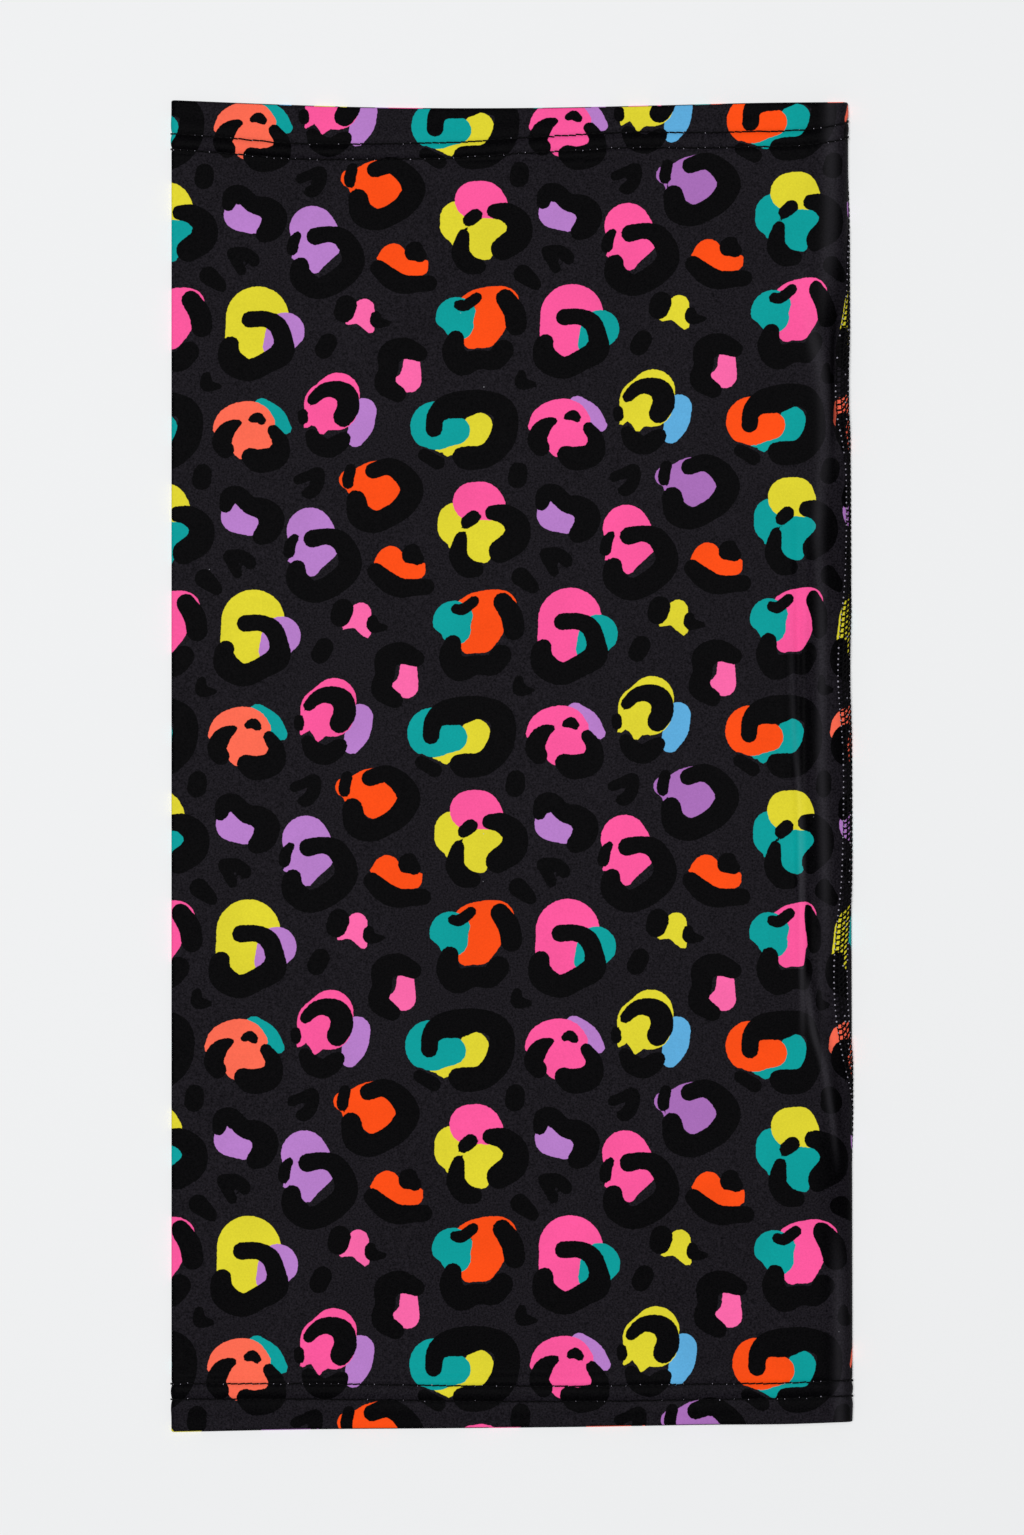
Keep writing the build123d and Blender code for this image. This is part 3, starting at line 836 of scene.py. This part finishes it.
def hem_stitches(name, end, second):
    """One needle row of a hem: a dash for each stitch, which dips through the cloth at its ends.
    The second result is the ways round to its needle holes."""
    start, stop = hem_span(end)
    count = int((stop - start) / HEM_STITCH)
    middle = start + (np.arange(count) + 0.5) * HEM_STITCH + jitter(count, 0.05)
    reach = np.array([-1.22, -1.12, -0.55, 0.0, 0.55, 1.12, 1.22])
    lift = np.array([-0.75, -0.14, 0.14, 0.18, 0.14, -0.14, -0.75])
    a = middle[:, None] + reach * (1 + jitter(count, 0.03)[:, None])
    tilt = (0.07 + jitter(count, 0.03))[:, None] * reach
    v = hem_row(a, end, second) + end * tilt + jitter(count, 0.06)[:, None]
    p, n = on_cloth(a, v, lift)
    return tubes(name, p, n, HEM_NEEDLE), start + np.arange(count + 1) * HEM_STITCH


def zigzag(name, a, v, depth):
    """A looper thread that runs through the places given, inside the tube, one tube per leg."""
    steps = np.linspace(0, 1, 5)
    aa = a[:-1, None] * (1 - steps) + a[1:, None] * steps
    vv = v[:-1, None] * (1 - steps) + v[1:, None] * steps
    p, n = on_cloth(aa, vv, -(depth + LOOPER_LIFT))
    return tubes(name, p, n, LOOPER, taper=1.0)


def hem_looper(name, end):
    start, stop = hem_span(end)
    count = 2 * int((stop - start) / HEM_STITCH)
    a = np.linspace(start, stop, count + 1)
    return zigzag(name, a, hem_row(a, end, np.arange(count + 1) % 2), HEM_LAYERS)


SEAM_END = HALF_LENGTH - 1.4  # where the side seam's threads end
seam_stitches = int(2 * SEAM_END / SEAM_STITCH)
seam_v = (np.arange(seam_stitches) - (seam_stitches - 1) / 2) * SEAM_STITCH


def seam_needle(name, number):
    """One needle row of the side seam: a dash over the cover threads for each stitch."""
    reach = np.array([-1.0, -0.9, -0.45, 0.0, 0.45, 0.9, 1.0])
    lift = np.array([-0.35, 0.08, 0.30, 0.34, 0.30, 0.08, -0.35])
    v = seam_v[:, None] + reach
    lean = {0: 0.12, SEAM_ROWS - 1: -0.12}.get(number, 0.0)  # of the outer rows' dashes
    a = seam_row(number, v) + lean * reach + jitter(seam_stitches, 0.05)[:, None]
    p, n = on_cloth(a, v, lift)
    return tubes(name, p, n, SEAM_NEEDLE)


# The cover thread's bars in one stitch: the rows where each starts and ends, and how far through
# the stitch it does so
COVER_BARS = (
    (0, 1, 0.0, 0.10), (0, 1, 0.16, 0.26),
    (1, 2, 0.1, 0.85), (1, 2, 0.28, 1.05), (1, 2, 0.9, 0.75),
    (2, 3, 0.0, 0.75), (2, 3, 0.18, 0.95),
)


def seam_cover(name):
    """The cover thread: straight bars between the first two needle rows, and slanting ones that
    cross between the others, with clear cloth showing in the openings."""
    ways, places = [], []
    steps = np.linspace(0, 1, 6)
    for v in seam_v:
        shift = 0.1 * rng.gauss(0, 1)
        for start, end, at, to in COVER_BARS:
            vv = v + (at + (to - at) * steps) * SEAM_STITCH + shift * steps * (1 - steps)
            vv = np.clip(vv, -SEAM_END, SEAM_END)
            ways.append(seam_row(start + (end - start) * steps, vv))
            places.append(vv)
    p, n = on_cloth(ways, places, 0.12 + 0.08 * np.sin(steps * math.pi))
    return tubes(name, p, n, SEAM_COVER, taper=1.0)


def seam_looper(name):
    inner = seam_v[np.abs(seam_v) < HALF_LENGTH - HEM_DEPTH - 1]
    v = np.repeat(inner, 2)
    return zigzag(name, seam_row(np.tile([0, SEAM_ROWS - 1], len(inner)), v), v, CLOTH)


FIBRE = 0.17  # radius of a fibre of size 1


def specks(name, spots):
    """Light fibres of the reverse, pulled up through needle holes: small flattened beads at the
    spots, each (way round, way along, size, lift)."""
    a, v, size, lift = np.array(spots).T
    p, n = on_cloth(a, v, lift)
    q, _ = on_cloth(a + 0.05, v, lift)
    side = q - p
    side /= np.linalg.norm(side, axis=1, keepdims=True)
    other = np.cross(n, side)
    rings = [(0.0, 1.0), (0.75, 0.6), (1.0, 0.0), (0.75, -0.6), (0.0, -1.0)]
    angle = np.linspace(0, 2 * math.pi, SIDES, endpoint=False)
    points = []
    for r, h in rings:
        for t in angle if r else angle[:1]:
            points.append(p + (side * (r * math.cos(t)) + other * (r * math.sin(t))
                               + n * (0.5 * h)) * (size * FIBRE)[:, None])
    points = np.stack(points, 1)
    per = points.shape[1]
    rows = [1 + SIDES * row for row in range(3)]  # the first corner of each ring of corners
    faces = []
    for k in range(SIDES):
        m = (k + 1) % SIDES
        faces.append((0, rows[0] + k, rows[0] + m))
        for low, high in zip(rows, rows[1:]):
            faces.append((low + k, high + k, high + m, low + m))
        faces.append((rows[2] + k, per - 1, rows[2] + m))
    every = [tuple(c + i * per for c in f) for i in range(len(points)) for f in faces]
    return make_mesh(name, points.reshape(-1, 3), every)


fabric = make_fabric()
threads = {}
spots = []
for end_name, end in (("top", 1), ("bottom", -1)):
    for row_name, second in (("outer", 0), ("inner", 1)):
        node = f"{end_name}_hem_needle_thread_{row_name}"
        threads[node], holes = hem_stitches(node + "_stitches", end, second)
        chance = 0.45 if second else 0.2
        for a in holes:
            if rng.random() < chance:
                v = float(hem_row(np.array([a]), end, second)[0])
                spots.append((a, v - end * rng.uniform(-0.25, 0.3), rng.uniform(0.7, 1.4), 0.0))
    node = f"{end_name}_hem_looper_thread"
    threads[node] = hem_looper(node + "_stitches", end)
for number in range(SEAM_ROWS):
    node = f"seam_needle_thread_{number + 1}"
    threads[node] = seam_needle(node + "_stitches", number)
threads["seam_cover_thread"] = seam_cover("seam_cover_thread_stitches")
threads["seam_looper_thread"] = seam_looper("seam_looper_thread_stitches")
for v in seam_v:
    for number, out, chance in ((0, 0.15, 0.95), (SEAM_ROWS - 1, -0.15, 0.85), (2, 0.0, 0.3)):
        # In the hollow beside the seam most of the first row's specks are left out, as painted
        # shade
        in_valley = number == 0 and 124 < v < 158
        if rng.random() < chance * (0.2 if in_valley else 1.0):
            hole = v + SEAM_STITCH / 2
            a = float(seam_row(number, hole)) + out
            spots.append((a, hole, rng.uniform(1.5, 2.3), 0.26))
fibres = specks("needle_hole_fibres", spots)


# -------- materials

def new_material(name):
    material = bpy.data.materials.new(name)
    material.use_nodes = True
    tree = material.node_tree
    return material, tree, tree.nodes["Principled BSDF"]


def set_gloss(shader, roughness, specular):
    shader.inputs["Roughness"].default_value = roughness
    shader.inputs["Specular IOR Level"].default_value = specular


def colour(rgb):
    return opaque(np.array(rgb, float) / 255).tolist()


def connect(tree, socket, value):
    """Gives a socket another node's output, or a plain value."""
    if hasattr(value, "is_output"):
        tree.links.new(value, socket)
    else:
        socket.default_value = value


def attribute(tree, name):
    node = tree.nodes.new("ShaderNodeAttribute")
    node.attribute_name = name
    return node.outputs


def split(tree, vector):
    """A vector's three parts."""
    node = tree.nodes.new("ShaderNodeSeparateXYZ")
    tree.links.new(vector, node.inputs[0])
    return node.outputs


def ramp(tree, value, low, high, to=(0.0, 1.0), kind="LINEAR"):
    """value mapped from low..high to the range to, held at its ends."""
    node = tree.nodes.new("ShaderNodeMapRange")
    node.interpolation_type = kind
    for name, number in zip(("From Min", "From Max", "To Min", "To Max"), (low, high, *to)):
        node.inputs[name].default_value = number
    tree.links.new(value, node.inputs["Value"])
    return node.outputs["Result"]


def noise(tree, vector, scale, detail=2.0, roughness=0.5):
    node = tree.nodes.new("ShaderNodeTexNoise")
    for name, number in (("Scale", scale), ("Detail", detail), ("Roughness", roughness)):
        node.inputs[name].default_value = number
    tree.links.new(vector, node.inputs["Vector"])
    return node.outputs["Fac"]


def mix(tree, factor, a, b, blend_type="MIX"):
    node = tree.nodes.new("ShaderNodeMix")
    node.data_type = "RGBA"
    node.blend_type = blend_type
    for socket, value in ((0, factor), (6, a), (7, b)):  # the colour sockets of a Mix node
        connect(tree, node.inputs[socket], value)
    return node.outputs[2]


def mottle(tree, grain, low, high):
    """A colour that varies with the grain between two."""
    return mix(tree, ramp(tree, grain, 0.3, 0.7), colour(low), colour(high))


def maths(tree, operation, a, b):
    node = tree.nodes.new("ShaderNodeMath")
    node.operation = operation
    connect(tree, node.inputs[0], a)
    connect(tree, node.inputs[1], b)
    return node.outputs[0]


def add_bump(tree, shader, height, strength, distance):
    bump = tree.nodes.new("ShaderNodeBump")
    bump.inputs["Strength"].default_value = strength
    bump.inputs["Distance"].default_value = distance
    tree.links.new(height, bump.inputs["Height"])
    tree.links.new(bump.outputs["Normal"], shader.inputs["Normal"])


# The knit's colours, each from dark to light
GROUND = (6, 5, 8), (36, 33, 39)
BLACK = (0, 0, 1), (10, 9, 11)
REVERSE = (186, 184, 187), (212, 210, 212)
# Painted highlight, added to the knit's colour on the roll's raised lines
PAINTED_HIGHLIGHT_COLOUR = (36, 35, 38)
LINT = (190, 190, 198)


def make_knit():
    material, tree, shader = new_material("printed_knit")
    place = tree.nodes.new("ShaderNodeTexCoord").outputs["Object"]
    spots = split(tree, attribute(tree, "spots")["Vector"])
    fuzz = ramp(tree, noise(tree, place, 900), 0.2, 0.8, (-0.16, 0.16))
    grain = noise(tree, place, 1500, 3.0, 0.6)
    broad = noise(tree, place, 45, 3.0)

    # The print, its outlines roughened by the loops of the knit
    result = mottle(tree, grain, *GROUND)
    black = mottle(tree, grain, *BLACK)
    tone = ramp(tree, grain, 0.25, 0.75, (0.90, 1.06))
    for distance, name in zip(spots, ("under_colour", "over_colour", None)):
        paint = black
        if name:
            paint = mix(tree, 1.0, attribute(tree, name)["Color"], tone, "MULTIPLY")
        rough = maths(tree, "ADD", distance, fuzz)
        covered = ramp(tree, rough, 0.1, -0.1, kind="SMOOTHSTEP")
        result = mix(tree, covered, result, paint)
    result = mix(tree, 1.0, result, ramp(tree, broad, 0.3, 0.7, (0.95, 1.05)), "MULTIPLY")

    # Painted highlight on the roll's raised lines, and painted shade in its hollows and along the
    # rows of stitches
    painted_light_and_shade = split(tree, attribute(tree, "painted_light_and_shade")["Vector"])
    glow = maths(tree, "MULTIPLY", painted_light_and_shade[0], tone)
    result = mix(tree, glow, result, colour(PAINTED_HIGHLIGHT_COLOUR), "ADD")
    result = mix(tree, 1.0, result, ramp(tree, painted_light_and_shade[1], 0.0, 2.5, (1.0, 0.0)), "MULTIPLY")

    # Lint: rare light specks
    cells = tree.nodes.new("ShaderNodeTexVoronoi")
    cells.inputs["Scale"].default_value = 110
    cells.inputs["Randomness"].default_value = 1.0
    tree.links.new(place, cells.inputs["Vector"])
    speck = ramp(tree, cells.outputs["Distance"], 0.030, 0.018, kind="SMOOTHSTEP")
    chosen = ramp(tree, split(tree, cells.outputs["Color"])[0], 0.86, 0.88)
    speck = maths(tree, "MULTIPLY", maths(tree, "MULTIPLY", speck, chosen), 0.45)
    result = mix(tree, speck, result, colour(LINT))

    printed = attribute(tree, "printed")["Fac"]
    result = mix(tree, printed, mottle(tree, grain, *REVERSE), result)
    tree.links.new(result, shader.inputs["Base Color"])
    set_gloss(shader, 0.5, 0.013)
    # The fine knit is felt as a soft roughness
    add_bump(tree, shader, noise(tree, place, 2200, 2.0, 0.6), 0.35, 0.0002)
    return material


def make_plain(name, low, high, roughness):
    """Thread or fibre: one colour with a fine mottle and roughness."""
    material, tree, shader = new_material(name)
    place = tree.nodes.new("ShaderNodeTexCoord").outputs["Object"]
    grain = noise(tree, place, 2500, 3.0, 0.6)
    tree.links.new(mottle(tree, grain, low, high), shader.inputs["Base Color"])
    set_gloss(shader, roughness, 0.03)
    add_bump(tree, shader, grain, 0.4, 0.0001)
    return material


knit = make_knit()
black_thread = make_plain("sewing_thread", (7, 7, 8), (16, 15, 17), 0.6)
light_fibre = make_plain("needle_hole_fibre", (120, 116, 128), (178, 174, 186), 0.8)
fabric.data.materials.append(knit)
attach(fabric, "root")
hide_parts("fabric_panel")
for node, obj in threads.items():
    obj.data.materials.append(black_thread)
    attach(obj, "root")
    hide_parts(node)
fibres.data.materials.append(light_fibre)
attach(fibres, "root")


# -------- floor, light and camera

bpy.ops.mesh.primitive_plane_add(size=12, location=(0, 0, -0.0002))
floor = bpy.context.object
floor.name = "floor"
floor_material, _, floor_shader = new_material("floor")
floor_shader.inputs["Base Color"].default_value = (0.871, 0.879, 0.888, 1)
set_gloss(floor_shader, 0.9, 0.0)
floor.data.materials.append(floor_material)

lamp_data = bpy.data.lights.new("key", "AREA")
lamp_data.shape = "RECTANGLE"
lamp_data.size, lamp_data.size_y = 1.0, 1.2
lamp_data.energy = 107
lamp = add_object("key", lamp_data)
lamp.location = (-0.25, 0.15, 3.4)
lamp.rotation_euler = (-lamp.location).to_track_quat("-Z", "Y").to_euler()

world = bpy.data.worlds.new("studio")
bpy.context.scene.world = world
world.use_nodes = True
tree = world.node_tree
background = tree.nodes["Background"].inputs
background["Color"].default_value = (1, 1, 1, 1)
# Dim as a light, so that the cloth's blacks stay deep, but pale like the floor where it is seen
seen = tree.nodes.new("ShaderNodeLightPath").outputs["Is Camera Ray"]
tree.links.new(ramp(tree, seen, 0.0, 1.0, (0.10, 0.85)), background["Strength"])

camera_data = bpy.data.cameras.new("camera")
camera_data.sensor_fit = "VERTICAL"
camera_data.sensor_height = 36
camera_data.lens = 85
camera = add_object("camera", camera_data)
camera.location = (0.0004, -0.0007, 1.3145)
scene = bpy.context.scene
scene.camera = camera
scene.view_settings.view_transform = "Standard"
scene.view_settings.look = "None"
